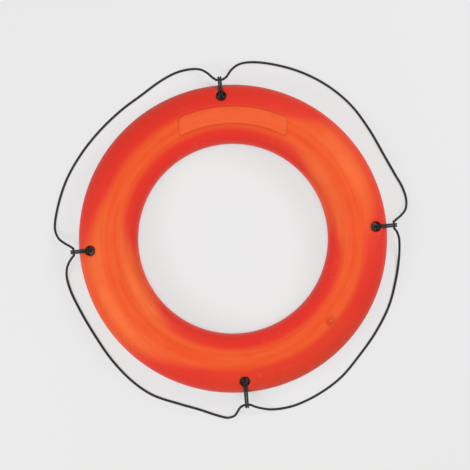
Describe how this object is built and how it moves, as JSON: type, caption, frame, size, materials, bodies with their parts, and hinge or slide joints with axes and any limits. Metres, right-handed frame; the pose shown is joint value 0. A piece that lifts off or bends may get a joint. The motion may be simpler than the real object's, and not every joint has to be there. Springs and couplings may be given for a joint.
{
  "type": "ring lifebuoy",
  "caption": "Ring lifebuoy: foam-filled hard moulded ring with a black grab line slung round its rim in cord beckets, thrown to a swimmer to hold on to.",
  "frame": {"origin": "middle of the throat at the height of the back face that the ring lies on", "axes": "+Z along the ring's axis from the back face to the front face, +Y through the top becket, +X through the right becket seen from the front"},
  "size_m": [0.8874, 0.8874, 0.1026],
  "materials": {
    "shell_plastic": "satin",
    "plug_plastic": "satin",
    "foam": "matte",
    "becket_cord": "satin",
    "line_rope": "satin"
  },
  "bodies": {
    "ring": {"shell": "shell_plastic", "foam_core": "foam", "fill_plug": "plug_plastic", "vent_plug": "plug_plastic", "becket_top": "becket_cord", "becket_right": "becket_cord", "becket_bottom": "becket_cord", "becket_left": "becket_cord", "becket_knot_top": "becket_cord", "becket_knot_right": "becket_cord", "becket_knot_bottom": "becket_cord", "becket_knot_left": "becket_cord", "line_bight_top": "line_rope", "line_bight_right": "line_rope", "line_bight_bottom": "line_rope", "line_bight_left": "line_rope"},
    "bay_top_right": {"grab_line_top_right": "line_rope"},
    "bay_bottom_right": {"grab_line_bottom_right": "line_rope"},
    "bay_bottom_left": {"grab_line_bottom_left": "line_rope"},
    "bay_top_left": {"grab_line_top_left": "line_rope"}
  },
  "joints": [
    {"name": "swing_top_right", "type": "hinge", "parent": "ring", "child": "bay_top_right", "pos_m": [0.0085, 0.396, 0.04], "axis": [0.7116, -0.7026, 0], "range_deg": [0, 100]},
    {"name": "swing_bottom_right", "type": "hinge", "parent": "ring", "child": "bay_bottom_right", "pos_m": [0.401, -0.0085, 0.04], "axis": [-0.6945, -0.7193, -0.0142], "range_deg": [0, 100]},
    {"name": "swing_bottom_left", "type": "hinge", "parent": "ring", "child": "bay_bottom_left", "pos_m": [-0.0085, -0.415, 0.032], "axis": [-0.6908, 0.7229, 0.0142], "range_deg": [0, 100]},
    {"name": "swing_top_left", "type": "hinge", "parent": "ring", "child": "bay_top_left", "pos_m": [-0.397, 0.0085, 0.04], "axis": [0.708, 0.7062, 0], "range_deg": [0, 100]}
  ]
}
